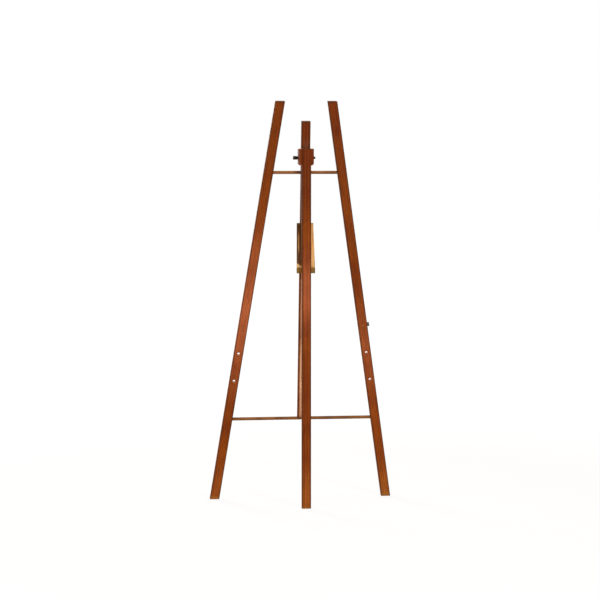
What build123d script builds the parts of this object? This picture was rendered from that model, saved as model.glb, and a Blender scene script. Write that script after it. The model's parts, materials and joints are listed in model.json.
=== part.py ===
import os
from math import asin, atan, atan2, cos, degrees, hypot, radians, sin

from build123d import *

os.makedirs("parts", exist_ok=True)

# Driving dimensions, in millimetres and degrees.
# "Height" and "drop" are measured along the leaning front frame, from the floor or from the piece named.

# Front frame
frame_lean = 8.0
frame_length = 1515.0
leg_top_spread = 191.0
leg_foot_spread = 657.0
leg_width = 35.0
leg_thick = 22.0
edge_round = 2.5
end_chamfer = 1.2

# Rungs
rung_diameter = 12.0
rung_tenon = 22.0
lower_rung_height = 315.0
upper_rung_drop = 54.0
rung_end_chamfer = 1.0
socket_end_gap = 0.5

# Mast
mast_top_drop = 73.0
mast_thick = 22.0
mast_saddle = 3.0
mast_side_gap = 0.4

# Rear leg and its hinge block
hinge_drop = 135.0
rear_leg_width = 34.0
rear_leg_thick = 20.0
rear_leg_head = 33.0
opening_max = 25.0
stop_gap = 0.3
cheek_thick = 10.0
cheek_rise = 34.0
cheek_fall = 28.0
cheek_nose = 14.0
cheek_round = 9.0
cheek_corner = 6.0
cheek_edge = 2.4
cheek_screw_spacing = 34.0
cheek_screw_length = 22.0

# Hinge bolt, washers and clamp knob
bolt_diameter = 6.0
bolt_head_diameter = 11.0
bolt_head_height = 9.6
bolt_head_round = 4.2
washer_diameter = 16.0
washer_thick = 1.2
knob_diameter = 13.6
knob_length = 17.0
knob_bite = 12.0
knob_edge = 1.2
knob_gap = 0.3

# Brace board and its butt hinge
brace_drop = 240.0
brace_board_length = 168.0
brace_board_thick = 6.0
brace_top_width = 61.0
brace_foot_width = 68.0
brace_rest_gap = 0.5
brace_fold_gap = 0.4
brace_edge = 0.8
brace_top_gap = 1.2
batten_height = 19.0
batten_thick = 9.0
batten_proud = 1.0
batten_pin_spacing = 44.0
batten_pin_length = 32.0
hinge_width = 30.0
hinge_leaf_length = 26.0
hinge_leaf_thick = 1.4
hinge_pin_diameter = 2.5
knuckle_diameter = 5.0
knuckle_gap = 0.3
leaf_screw_spacing = 17.0
mast_leaf_screw_length = 14.0
board_leaf_screw_length = 5.5

# Canvas pegs and their holes
peg_hole_diameter = 11.0
peg_hole_count = 3
peg_hole_height = 465.0
peg_hole_spacing = 105.0
peg_hole_rim = 0.6
peg_reach = 62.0
peg_end_proud = 1.0
peg_collar_diameter = 19.0
peg_collar_thick = 5.0
peg_collar_gap = 0.2
peg_tip_round = 3.0
lock_screw_diameter = 5.0
lock_head_diameter = 16.0
lock_head_length = 8.0
lock_gap = 0.4

# Small fasteners
screw_diameter = 4.0
screw_head_diameter = 8.0
mast_foot_screw_length = 44.0
foot_screw_sink = 2.0
leaf_screw_diameter = 2.6
leaf_screw_head_diameter = 5.0
brad_diameter = 2.0
brad_length = 16.0
screw_point_diameter = 0.8

# Radial clearances
dowel_fit = 0.05
screw_fit = 0.03
running_fit = 0.06
sliding_fit = 0.08

# Heights of the main points along the front frame
mast_top = frame_length - mast_top_drop
hinge_height = mast_top - hinge_drop
upper_rung_height = hinge_height - upper_rung_drop
brace_hinge_height = hinge_height - brace_drop
mast_foot = lower_rung_height + rung_diameter / 2 - mast_saddle
peg_heights = [peg_hole_height + step * peg_hole_spacing for step in range(peg_hole_count)]
peg_seat_height = peg_heights[-1]

# The brace hinge's pin stands off the mast by its knuckle, and the board by as much again
pin_standoff = knuckle_diameter / 2 + knuckle_gap
batten_back = pin_standoff + brace_board_thick + batten_proud
rear_leg_standoff = mast_thick / 2 + pin_standoff + batten_back + brace_fold_gap
mast_width = rear_leg_width - 2 * mast_side_gap
block_half_width = rear_leg_width / 2 + cheek_thick

# The front feet stand so that the whole easel is centred on the origin
lean = radians(frame_lean)
front_reach = leg_thick / 2 / cos(lean)
front_foot_y = (hinge_height * sin(lean) + rear_leg_standoff + rear_leg_thick - front_reach) / 2


def leaning_plane(origin, angle):
    """Plane of a board that faces the rear and leans back by the angle, with its local Y up the board."""
    turn = radians(angle)
    return Plane(origin=origin, x_dir=(1, 0, 0), z_dir=(0, -cos(turn), -sin(turn)))


frame_plane = leaning_plane((0, front_foot_y, 0), frame_lean)


def on_frame(x, height, back=0.0):
    return frame_plane.from_local_coords(Vector(x, height, back))


hinge_point = on_frame(0, hinge_height)
brace_pivot = on_frame(0, brace_hinge_height, mast_thick / 2 + pin_standoff)

# The brace swings out until its batten's lower edge is just short of the upright rear leg
brace_reach = brace_board_length + batten_height
batten_corner = hypot(brace_reach, batten_back)
corner_distance = (
    rear_leg_standoff
    - brace_rest_gap
    - (mast_thick / 2 + pin_standoff) * cos(lean)
    + brace_drop * sin(lean)
)
brace_lean = -degrees(asin(corner_distance / batten_corner) - atan2(batten_back, brace_reach))
brace_plane = leaning_plane(brace_pivot, brace_lean)
print(f"brace stands {frame_lean - brace_lean:.3f} degrees off the mast")

# Legs taper together towards the top
leg_splay = atan((leg_foot_spread - leg_top_spread) / 2 / frame_length)
leg_half_across = leg_width / 2 / cos(leg_splay)


def leg_centre(height):
    share = height / frame_length
    return (leg_foot_spread + (leg_top_spread - leg_foot_spread) * share) / 2


def bar_along_x(centre, radius, half_length):
    with BuildPart() as bar:
        with BuildSketch(Plane(origin=centre, z_dir=(1, 0, 0))):
            Circle(radius)
        extrude(amount=half_length, both=True)
    return bar.part


def straight_pin(seat, radius, length):
    """Plain pin whose end lies on the seat plane and which runs down into the material."""
    with BuildPart(seat) as pin:
        Cylinder(radius, length, align=(Align.CENTER, Align.CENTER, Align.MAX))
    return pin.part


def wood_screw(seat, diameter, head_diameter, length, fit=0.0):
    """Countersunk screw with its flat head on the seat plane; fit grows it into its own hole."""
    radius = diameter / 2 + fit
    head_radius = head_diameter / 2 + fit
    tip = diameter
    point_radius = screw_point_diameter / 2
    with BuildPart(seat) as screw:
        Cylinder(radius, length - tip, align=(Align.CENTER, Align.CENTER, Align.MAX))
        Cone(radius, head_radius, head_radius - radius, align=(Align.CENTER, Align.CENTER, Align.MAX))
        with Locations((0, 0, tip - length)):
            Cone(point_radius, radius, tip + fit, align=(Align.CENTER, Align.CENTER, Align.MAX))
    return screw.part


def save(part, name):
    part.label = name
    export_step(part, f"parts/{name}.step")


def rung_half_length(height):
    return leg_centre(height) - leg_half_across + rung_tenon


rung_heights = {"upper_rung": upper_rung_height, "lower_rung": lower_rung_height}


def rung_socket(height):
    reach = rung_half_length(height) + socket_end_gap
    return bar_along_x(on_frame(0, height), rung_diameter / 2 + dowel_fit, reach)


def brad_seats(height):
    return [
        Plane(origin=on_frame(side * leg_centre(height), height, leg_thick / 2), z_dir=frame_plane.z_dir)
        for side in (-1, 1)
    ]


def brad_hole(seat):
    return straight_pin(seat, brad_diameter / 2 + screw_fit, brad_length + screw_fit)


# The right leg carries a thumb screw in its outer edge, which locks the peg there
lock_side = (cos(leg_splay), sin(leg_splay))
lock_axis = (on_frame(lock_side[0], lock_side[1]) - on_frame(0, 0)).normalized()
peg_axis_point = on_frame(leg_centre(peg_seat_height), peg_seat_height)
lock_seat = Plane(origin=peg_axis_point + lock_axis * (leg_width / 2), z_dir=lock_axis)
lock_bite = leg_width / 2 - peg_hole_diameter / 2 - lock_gap


def on_peg_hole(edge):
    return abs(edge.radius - peg_hole_diameter / 2) < dowel_fit


# Front legs
for side, name in ((-1, "left_leg"), (1, "right_leg")):
    with BuildPart() as leg:
        below_floor = -leg_width
        with BuildSketch(frame_plane):
            with BuildLine():
                Polyline(
                    (side * (leg_centre(below_floor) - leg_half_across), below_floor),
                    (side * (leg_centre(below_floor) + leg_half_across), below_floor),
                    (side * (leg_centre(frame_length) + leg_half_across), frame_length),
                    (side * (leg_centre(frame_length) - leg_half_across), frame_length),
                    close=True,
                )
            make_face()
        extrude(amount=leg_thick / 2, both=True)
        split(bisect_by=Plane.XY, keep=Keep.TOP)
        chamfer(leg.faces().sort_by(Axis.Z)[-1].edges(), end_chamfer)
        chamfer(leg.faces().sort_by(Axis.Z)[0].edges(), end_chamfer)
        fillet(leg.edges().filter_by(lambda edge: edge.length > frame_length / 2), edge_round)
        with BuildSketch(frame_plane):
            with Locations(*[(side * leg_centre(height), height) for height in peg_heights]):
                Circle(peg_hole_diameter / 2)
        extrude(amount=leg_thick, both=True, mode=Mode.SUBTRACT)
        chamfer(leg.edges().filter_by(GeomType.CIRCLE).filter_by(on_peg_hole), peg_hole_rim)
        for height in rung_heights.values():
            add(rung_socket(height), mode=Mode.SUBTRACT)
            for seat in brad_seats(height):
                add(brad_hole(seat), mode=Mode.SUBTRACT)
        if side > 0:
            lock_hole = straight_pin(lock_seat, lock_screw_diameter / 2 + running_fit, leg_width / 2)
            add(lock_hole, mode=Mode.SUBTRACT)
    save(leg.part, name)

# Rungs
mast_pin_seat = Plane(origin=on_frame(0, upper_rung_height, mast_thick / 2), z_dir=frame_plane.z_dir)
mast_pin_length = mast_thick / 2 + rung_diameter / 2
foot_screw_seat = Plane(
    origin=on_frame(0, lower_rung_height - rung_diameter / 2 + foot_screw_sink),
    z_dir=-frame_plane.y_dir,
)


def mast_foot_screw(fit=0.0):
    return wood_screw(foot_screw_seat, screw_diameter, screw_head_diameter, mast_foot_screw_length, fit)


def foot_screw_hole():
    """Hole for the screw, open below its sunk head."""
    with BuildPart() as hole:
        add(mast_foot_screw(screw_fit))
        with BuildSketch(foot_screw_seat):
            Circle(screw_head_diameter / 2 + screw_fit)
        extrude(amount=rung_diameter)
    return hole.part


for name, height in rung_heights.items():
    with BuildPart() as rung:
        add(bar_along_x(on_frame(0, height), rung_diameter / 2, rung_half_length(height)))
        chamfer(rung.edges().filter_by(GeomType.CIRCLE), rung_end_chamfer)
        for seat in brad_seats(height):
            add(brad_hole(seat), mode=Mode.SUBTRACT)
        if name == "upper_rung":
            mast_pin_hole = straight_pin(mast_pin_seat, brad_diameter / 2 + screw_fit, mast_pin_length)
            add(mast_pin_hole, mode=Mode.SUBTRACT)
        else:
            add(foot_screw_hole(), mode=Mode.SUBTRACT)
    save(rung.part, name)

with BuildPart() as rung_brads:
    for height in rung_heights.values():
        for seat in brad_seats(height):
            add(straight_pin(seat, brad_diameter / 2, brad_length))
save(rung_brads.part, "rung_brads")

save(straight_pin(mast_pin_seat, brad_diameter / 2, mast_pin_length - screw_fit), "mast_rung_pin")
save(mast_foot_screw(), "mast_foot_screw")

# Butt hinge of the brace: one leaf on the mast, one on the board, three knuckles on one pin
mast_leaf_plane = leaning_plane(brace_pivot, frame_lean)
leaf_screw_drop = (hinge_leaf_length + knuckle_diameter) / 2
knuckle_pitch = hinge_width / 3


def leaf_screw_seats(plane, face, outward):
    return [
        Plane(
            origin=plane.from_local_coords(Vector(side * leaf_screw_spacing / 2, -leaf_screw_drop, face)),
            z_dir=plane.z_dir * outward,
        )
        for side in (-1, 1)
    ]


mast_leaf_face = hinge_leaf_thick - pin_standoff
board_leaf_face = pin_standoff - hinge_leaf_thick
mast_leaf_seats = leaf_screw_seats(mast_leaf_plane, mast_leaf_face, 1)
board_leaf_seats = leaf_screw_seats(brace_plane, board_leaf_face, -1)


def leaf_screw(seat, length, fit=0.0):
    return wood_screw(seat, leaf_screw_diameter, leaf_screw_head_diameter, length, fit)


def hinge_leaf(plane, back, knuckles, seats, screw_length):
    """Leaf plate from its back face, with a tab up to each of its knuckles and its screw holes."""
    plate_start = knuckle_diameter / 2 + knuckle_gap
    with BuildPart() as leaf:
        with BuildSketch(plane.offset(back)):
            with Locations((0, -plate_start)):
                Rectangle(hinge_width, hinge_leaf_length - plate_start, align=(Align.CENTER, Align.MAX))
            for low, high in knuckles:
                with Locations(((low + high) / 2, 0)):
                    Rectangle(high - low, plate_start + hinge_leaf_thick, align=(Align.CENTER, Align.MAX))
        extrude(amount=hinge_leaf_thick)
        for low, high in knuckles:
            middle = plane.from_local_coords(Vector((low + high) / 2, 0, 0))
            add(bar_along_x(middle, knuckle_diameter / 2, (high - low) / 2))
        pin_bore = bar_along_x(plane.origin, hinge_pin_diameter / 2 + running_fit, hinge_width)
        add(pin_bore, mode=Mode.SUBTRACT)
        for seat in seats:
            add(leaf_screw(seat, screw_length, screw_fit), mode=Mode.SUBTRACT)
    return leaf.part


middle_end = (knuckle_pitch - knuckle_gap) / 2
outer_start = (knuckle_pitch + knuckle_gap) / 2
outer_end = hinge_width / 2
mast_leaf = hinge_leaf(
    mast_leaf_plane,
    -pin_standoff,
    [(-outer_end, -outer_start), (outer_start, outer_end)],
    mast_leaf_seats,
    mast_leaf_screw_length,
)
board_leaf = hinge_leaf(
    brace_plane,
    board_leaf_face,
    [(-middle_end, middle_end)],
    board_leaf_seats,
    board_leaf_screw_length,
)
save(mast_leaf, "hinge_mast_leaf")
save(board_leaf, "hinge_board_leaf")
save(bar_along_x(brace_pivot, hinge_pin_diameter / 2, hinge_width / 2), "hinge_pin")

for name, seats, length in (
    ("mast_leaf_screws", mast_leaf_seats, mast_leaf_screw_length),
    ("board_leaf_screws", board_leaf_seats, board_leaf_screw_length),
):
    with BuildPart() as leaf_screws:
        for seat in seats:
            add(leaf_screw(seat, length))
    save(leaf_screws.part, name)

# Mast
with BuildPart() as mast:
    with BuildSketch(frame_plane):
        with Locations((0, mast_foot)):
            Rectangle(mast_width, mast_top - mast_foot, align=(Align.CENTER, Align.MIN))
    extrude(amount=mast_thick / 2, both=True)
    fillet(mast.edges().filter_by(lambda edge: edge.length > frame_length / 2), edge_round)
    chamfer(mast.faces().sort_by(Axis.Z)[-1].edges(), end_chamfer)
    for height in rung_heights.values():
        add(rung_socket(height), mode=Mode.SUBTRACT)
    add(bar_along_x(hinge_point, bolt_diameter / 2 + running_fit, rear_leg_width), mode=Mode.SUBTRACT)
    add(straight_pin(mast_pin_seat, brad_diameter / 2 + screw_fit, mast_pin_length), mode=Mode.SUBTRACT)
    add(mast_foot_screw(screw_fit), mode=Mode.SUBTRACT)
    for seat in mast_leaf_seats:
        add(leaf_screw(seat, mast_leaf_screw_length, screw_fit), mode=Mode.SUBTRACT)
save(mast.part, "mast")

# Brace board and the batten along its lower end
batten_pin_seats = [
    Plane(
        origin=brace_plane.from_local_coords(
            Vector(side * batten_pin_spacing / 2, -brace_reach, pin_standoff + brace_board_thick / 2)
        ),
        z_dir=-brace_plane.y_dir,
    )
    for side in (-1, 1)
]


def batten_pin(seat, fit=0.0):
    return straight_pin(seat, brad_diameter / 2 + fit, batten_pin_length + fit)


with BuildPart() as brace_board:
    with BuildSketch(brace_plane.offset(pin_standoff)):
        with BuildLine():
            Polyline(
                (-brace_top_width / 2, -brace_top_gap),
                (brace_top_width / 2, -brace_top_gap),
                (brace_foot_width / 2, -brace_board_length),
                (-brace_foot_width / 2, -brace_board_length),
                close=True,
            )
        make_face()
    extrude(amount=brace_board_thick)
    chamfer(brace_board.edges().filter_by(lambda edge: edge.length > brace_board_length / 2), brace_edge)
    for seat in board_leaf_seats:
        add(leaf_screw(seat, board_leaf_screw_length, screw_fit), mode=Mode.SUBTRACT)
    for seat in batten_pin_seats:
        add(batten_pin(seat, screw_fit), mode=Mode.SUBTRACT)
save(brace_board.part, "brace_board")

with BuildPart() as brace_batten:
    with BuildSketch(brace_plane.offset(batten_back - batten_thick)):
        with Locations((0, -brace_board_length)):
            Rectangle(brace_foot_width, batten_height, align=(Align.CENTER, Align.MAX))
    extrude(amount=batten_thick)
    chamfer(brace_batten.edges().filter_by(Axis.X), brace_edge)
    for seat in batten_pin_seats:
        add(batten_pin(seat, screw_fit), mode=Mode.SUBTRACT)
save(brace_batten.part, "brace_batten")

with BuildPart() as batten_pins:
    for seat in batten_pin_seats:
        add(batten_pin(seat))
save(batten_pins.part, "batten_pins")

# Rear leg: upright at rest, with a bevel at the top that meets the mast when the leg is fully open
leg_back = hinge_point.Y - rear_leg_standoff - rear_leg_thick
stop_turn = radians(opening_max)
stop_offset = (mast_thick / 2 + stop_gap) / cos(stop_turn)
stop_plane = Plane(
    origin=hinge_point - Vector(0, stop_offset, 0),
    z_dir=(0, -cos(stop_turn), -sin(stop_turn)),
)
cheek_screw_y = leg_back + rear_leg_thick / 2
cheek_middle = hinge_point.Z + (cheek_rise - cheek_fall) / 2


def cheek_screw_seats(side):
    return [
        Plane(
            origin=(side * block_half_width, cheek_screw_y, cheek_middle + step * cheek_screw_spacing / 2),
            z_dir=(side, 0, 0),
        )
        for step in (-1, 1)
    ]


def cheek_screw(seat, fit=0.0):
    return wood_screw(seat, screw_diameter, screw_head_diameter, cheek_screw_length, fit)


def outer_face_edges(cheek, side):
    return cheek.faces().sort_by(Axis.X)[0 if side < 0 else -1].edges()


with BuildPart() as rear_leg:
    with BuildSketch(Plane.XY):
        with Locations((0, leg_back)):
            Rectangle(rear_leg_width, rear_leg_thick, align=(Align.CENTER, Align.MIN))
    extrude(amount=hinge_point.Z + rear_leg_head)
    fillet(rear_leg.edges().filter_by(Axis.Z), edge_round)
    chamfer(rear_leg.faces().sort_by(Axis.Z)[-1].edges(), end_chamfer)
    chamfer(rear_leg.faces().sort_by(Axis.Z)[0].edges(), end_chamfer)
    split(bisect_by=stop_plane, keep=Keep.TOP)
    for side in (-1, 1):
        for seat in cheek_screw_seats(side):
            add(cheek_screw(seat, screw_fit), mode=Mode.SUBTRACT)
save(rear_leg.part, "rear_leg")

# Cheeks that carry the rear leg on the hinge bolt, one on each side of the mast
for side, name in ((-1, "left_cheek"), (1, "right_cheek")):
    with BuildPart() as cheek:
        with BuildSketch(Plane.YZ.offset(side * rear_leg_width / 2)):
            with Locations((leg_back, hinge_point.Z - cheek_fall)):
                Rectangle(
                    hinge_point.Y + cheek_nose - leg_back,
                    cheek_rise + cheek_fall,
                    align=(Align.MIN, Align.MIN),
                )
        extrude(amount=side * cheek_thick)
        chamfer(outer_face_edges(cheek, side).filter_by(Axis.Y).sort_by(Axis.Z)[0], cheek_corner)
        outer_top_edge = outer_face_edges(cheek, side).filter_by(Axis.Y).sort_by(Axis.Z)[-1]
        outer_rear_edge = outer_face_edges(cheek, side).filter_by(Axis.Z).sort_by(Axis.Y)[0]
        rear_top_edge = cheek.edges().filter_by(Axis.X).group_by(Axis.Y)[0].sort_by(Axis.Z)[-1]
        chamfer([outer_top_edge, outer_rear_edge, rear_top_edge], cheek_edge)
        nose_edges = cheek.edges().filter_by(Axis.X).group_by(Axis.Y)[-1]
        fillet(nose_edges, cheek_round)
        add(bar_along_x(hinge_point, bolt_diameter / 2 + dowel_fit, 2 * block_half_width), mode=Mode.SUBTRACT)
        for seat in cheek_screw_seats(side):
            add(cheek_screw(seat, screw_fit), mode=Mode.SUBTRACT)
    save(cheek.part, name)

with BuildPart() as cheek_screws:
    for side in (-1, 1):
        for seat in cheek_screw_seats(side):
            add(cheek_screw(seat))
save(cheek_screws.part, "cheek_screws")

# Hinge bolt with its head on the right, washers, and the clamp knob on the left
bolt_right = Plane(origin=hinge_point + Vector(block_half_width + washer_thick, 0, 0), z_dir=(1, 0, 0))
bolt_length = 2 * (block_half_width + washer_thick) + knob_bite
with BuildPart(bolt_right) as hinge_bolt:
    Cylinder(bolt_diameter / 2, bolt_length, align=(Align.CENTER, Align.CENTER, Align.MAX))
    Cylinder(bolt_head_diameter / 2, bolt_head_height, align=(Align.CENTER, Align.CENTER, Align.MIN))
    fillet(hinge_bolt.edges().sort_by(Axis.X)[-1], bolt_head_round)
save(hinge_bolt.part, "hinge_bolt")

for side, name in ((-1, "left_washer"), (1, "right_washer")):
    washer_plane = Plane(origin=hinge_point + Vector(side * block_half_width, 0, 0), z_dir=(side, 0, 0))
    with BuildPart() as washer:
        with BuildSketch(washer_plane):
            Circle(washer_diameter / 2)
            Circle(bolt_diameter / 2 + dowel_fit, mode=Mode.SUBTRACT)
        extrude(amount=washer_thick)
    save(washer.part, name)

knob_seat = hinge_point - Vector(block_half_width + washer_thick + knob_gap, 0, 0)
with BuildPart(Plane(origin=knob_seat, z_dir=(-1, 0, 0))) as clamp_knob:
    Cylinder(knob_diameter / 2, knob_length, align=(Align.CENTER, Align.CENTER, Align.MIN))
    chamfer(clamp_knob.edges().filter_by(GeomType.CIRCLE), knob_edge)
    Cylinder(
        bolt_diameter / 2 + running_fit,
        knob_bite,
        align=(Align.CENTER, Align.CENTER, Align.MIN),
        mode=Mode.SUBTRACT,
    )
save(clamp_knob.part, "clamp_knob")

# Canvas pegs, pushed in from the display side up to their collars
for side, name in ((-1, "left_peg"), (1, "right_peg")):
    peg_centre = on_frame(side * leg_centre(peg_seat_height), peg_seat_height)
    collar_face = leg_thick / 2 + peg_collar_gap
    with BuildPart(Plane(origin=peg_centre, z_dir=-frame_plane.z_dir)) as peg:
        with Locations((0, 0, -leg_thick / 2 - peg_end_proud)):
            Cylinder(
                peg_hole_diameter / 2 - sliding_fit,
                leg_thick + peg_end_proud + peg_reach,
                align=(Align.CENTER, Align.CENTER, Align.MIN),
            )
        fillet(peg.edges().filter_by(GeomType.CIRCLE).sort_by(Axis.Y)[-1], peg_tip_round)
        chamfer(peg.edges().filter_by(GeomType.CIRCLE).sort_by(Axis.Y)[0], peg_end_proud)
        with Locations((0, 0, collar_face)):
            Cylinder(
                peg_collar_diameter / 2,
                peg_collar_thick,
                align=(Align.CENTER, Align.CENTER, Align.MIN),
            )
    save(peg.part, name)

with BuildPart(lock_seat) as peg_lock_screw:
    Cylinder(lock_screw_diameter / 2, lock_bite, align=(Align.CENTER, Align.CENTER, Align.MAX))
    Cylinder(lock_screw_diameter / 2, lock_gap, align=(Align.CENTER, Align.CENTER, Align.MIN))
    with Locations((0, 0, lock_gap)):
        Cylinder(
            lock_head_diameter / 2,
            lock_head_length,
            align=(Align.CENTER, Align.CENTER, Align.MIN),
        )
    chamfer(peg_lock_screw.edges().filter_by(GeomType.CIRCLE).sort_by(Axis.X)[-1], knob_edge)
save(peg_lock_screw.part, "peg_lock_screw")
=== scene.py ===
import json
import math

import bmesh
import bpy
from mathutils import Euler, Matrix, Vector


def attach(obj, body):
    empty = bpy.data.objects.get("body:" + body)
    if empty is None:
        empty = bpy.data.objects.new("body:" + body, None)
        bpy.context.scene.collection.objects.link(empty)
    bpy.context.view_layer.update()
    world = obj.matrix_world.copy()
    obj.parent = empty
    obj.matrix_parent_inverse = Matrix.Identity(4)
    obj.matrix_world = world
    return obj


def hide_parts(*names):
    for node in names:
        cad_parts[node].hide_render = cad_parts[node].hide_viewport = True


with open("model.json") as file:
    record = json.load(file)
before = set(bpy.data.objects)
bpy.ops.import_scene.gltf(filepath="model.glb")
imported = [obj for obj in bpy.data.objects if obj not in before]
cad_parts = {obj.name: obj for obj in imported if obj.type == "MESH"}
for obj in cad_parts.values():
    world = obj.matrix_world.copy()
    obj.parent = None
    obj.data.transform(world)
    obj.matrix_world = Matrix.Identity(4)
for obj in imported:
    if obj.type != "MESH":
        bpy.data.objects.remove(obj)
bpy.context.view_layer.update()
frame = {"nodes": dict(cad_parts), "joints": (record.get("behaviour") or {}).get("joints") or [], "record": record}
nodes = frame["nodes"]
joints = {joint["name"]: joint for joint in frame["joints"]}
mounts = {mount["name"]: mount for mount in frame["record"]["mounts"]}
bodyOf = {node: body for body, members in frame["record"]["behaviour"]["bodies"].items() for node in members}
slotOf = {part["node"]: part["material_slot"] for part in frame["record"]["subparts"]}
mm = 0.001
print("frame loaded:", len(nodes), "nodes")

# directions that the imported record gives
upFrame = Vector(mounts["left_peg_seat"]["axis"])
frontOfFrame = Vector(mounts["left_low_peg_hole"]["axis"])
hingePoint = Vector(joints["rear_leg_fold"]["pos_m"])
acrossX = Vector((1, 0, 0))
upZ = Vector((0, 0, 1))
backY = Vector((0, -1, 0))


def linearFromHex(code):
    # sRGB hex to the linear colour that the shader works in
    parts = [int(code[i:i + 2], 16) / 255 for i in (1, 3, 5)]
    return tuple(c / 12.92 if c <= 0.04045 else ((c + 0.055) / 1.055) ** 2.4 for c in parts) + (1.0,)


def addNode(tree, kind, settings=None, links=None):
    # settings are socket names, socket numbers or the node's own properties
    node = tree.nodes.new(kind)
    for key, value in (settings or {}).items():
        if isinstance(key, int) or key in node.inputs:
            node.inputs[key].default_value = value
        else:
            setattr(node, key, value)
    for key, source in (links or {}).items():
        tree.links.new(source, node.inputs[key])
    return node


def newMaterial(name):
    material = bpy.data.materials.new(name)
    material.use_nodes = True
    tree = material.node_tree
    tree.nodes.clear()
    return material, tree


def axesFor(along, front):
    # columns: across the face, out of the face, along the grain
    along = along.normalized()
    front = (front - along * front.dot(along)).normalized()
    return Matrix((front.cross(along), front, along)).transposed()


def turnedBox(node, axes):
    # centre and half sizes of a CAD node in its own turned axes
    inverse = axes.transposed()
    points = [inverse @ vertex.co for vertex in nodes[node].data.vertices]
    low = Vector([min(p[i] for p in points) for i in range(3)])
    high = Vector([max(p[i] for p in points) for i in range(3)])
    return axes @ ((low + high) / 2), (high - low) / 2


# mahogany-toned wood under satin varnish: red-brown stain, darker at the arrises and end grain, partly stain
# gathered there and partly painted shade
mahoganyStain = {
    "deep": "#541a07",
    "mid": "#6c2e0a",
    "light": "#84440f",
    "edge": "#402612",
    "pore": "#2c1208",
    "ringMm": 6.0,
    "ringDepth": 0.14,
    "streakMm": 1.8,
    "streakLengthMm": 140.0,
    "streakDepth": 0.28,
    "poreMm": 0.9,  # real pores are near 0.3 mm; drawn wider so that they show
    "poreLengthMm": 26.0,
    "blotchMm": 45.0,
    "driftMm": 170.0,
    "driftShare": 0.45,
    "edgeMm": 5.6,
    "edgeShare": 0.8,
    "roughness": 0.46,
    "specular": 0.06,
}

# the front legs' peg holes were drilled after staining, so raw wood shows in them
legStain = dict(mahoganyStain, bore="#d39a62", boreMm=6.2, boreSkinMm=0.6, boreEndMm=50.0, edgeCore=0.2,
                bareFoot=True)

# the rear leg's head is held between the block's cheeks, so its dark arrises, gathered stain and painted shade,
# stop below the head
barStain = dict(mahoganyStain, plainHeadMm=76.0, edgeCore=0.2, bareFoot=True)

# the same wood on the hinge block, with its arrises painted pale as a painted highlight
paleArrisHighlightStain = dict(mahoganyStain, deep="#451a06", mid="#5e270a", light="#74350f", edge="#a87c5e",
                   edgeMm=2.0, edgeShare=0.75)

# and on the mast, with browner arrises: gathered stain and painted shade
mastStain = dict(mahoganyStain, edge="#4a2f1c", edgeMm=5.0)

# golden brown birch dowel, turned and dipped: faint fine grain along the rod
goldenDowel = {
    "deep": "#50300f",
    "mid": "#734a22",
    "light": "#8e6038",
    "edge": "#382409",
    "pore": "#382409",
    "ringMm": 3.0,
    "ringDepth": 0.12,
    "streakMm": 1.2,
    "streakLengthMm": 80.0,
    "streakDepth": 0.22,
    "poreMm": 0.7,
    "poreLengthMm": 18.0,
    "blotchMm": 30.0,
    "driftMm": 120.0,
    "driftShare": 0.4,
    "edgeMm": 1.0,
    "edgeShare": 0.75,
    "roughness": 0.40,
    "specular": 0.12,
}

# honey-varnished pine board: pale earlywood with warm latewood lines
honeyBoard = {
    "deep": "#b9803f",
    "mid": "#dca05a",
    "light": "#efba78",
    "edge": "#8a7040",
    "pore": "#6b4a20",
    # the left strip carries a painted shadow, with a painted lit streak in it and a painted patch of light at its
    # lower end
    "paintedShadow": "#4a2812",
    "paintedShadowStartMm": 11.0,  # from the middle of the board towards its left edge
    "paintedShadowBlendMm": 5.0,
    "litStreakMm": 25.0,
    "litStreakWidthMm": 4.5,
    "litStreakMiddleMm": -10.0,  # down from the middle of the board
    "litStreakLengthMm": 120.0,
    "litStreakShare": 0.85,
    "paintedLightEnd": "#f6d3a0",
    "paintedLightEndMm": 20.0,  # up from the board's lower end, less away from its left edge
    "paintedLightSkew": 0.6,
    "ringMm": 7.0,
    "ringDepth": 0.12,
    "streakMm": 2.0,
    "streakLengthMm": 110.0,
    "streakDepth": 0.16,
    "poreMm": 0.8,
    "poreLengthMm": 30.0,
    "blotchMm": 40.0,
    "driftMm": 90.0,
    "driftShare": 0.3,
    "edgeMm": 4.5,
    "edgeShare": 0.75,
    "roughness": 0.36,
    "specular": 0.15,
}

# olive-brown hardwood strip
oliveBatten = dict(honeyBoard, deep="#5f4210", mid="#7c5f1c", light="#977634", edge="#4c380e",
                   pore="#4c380e", paintedShadow=None, edgeMm=3.2)

# plain turned beech peg, lightly stained
turnedPeg = dict(goldenDowel, deep="#70401f", mid="#8f5a30", light="#aa7544", edge="#8a5228",
                 pore="#412a0e", poreMm=0.4)

# what all the woods share: noise levels between which a layer of the figure fades, and how strongly it shows
woodFigure = {
    "ringStretch": 0.05,  # along the grain, so that the rings run nearly straight
    "ringLeast": 0.15,
    "ringMost": 0.85,
    "poreLevels": (0.54, 0.70),
    "poreShare": 0.45,
    "poreRoughness": 0.15,
    "poreBump": 0.35,
    "poreDepthMm": 0.25,
    "blotchStretch": 0.45,
    "blotchLevels": (0.34, 0.66),
    "streakLevels": (0.3, 0.7),
    "patchLevels": (0.3, 0.6),
    "patchLeast": 0.45,
    "stripeCore": 0.6,
    "blendMm": 5.0,
    "paintedShadowShare": 0.92,
    "glossier": 0.06,
    "duller": 0.08,
}


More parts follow.
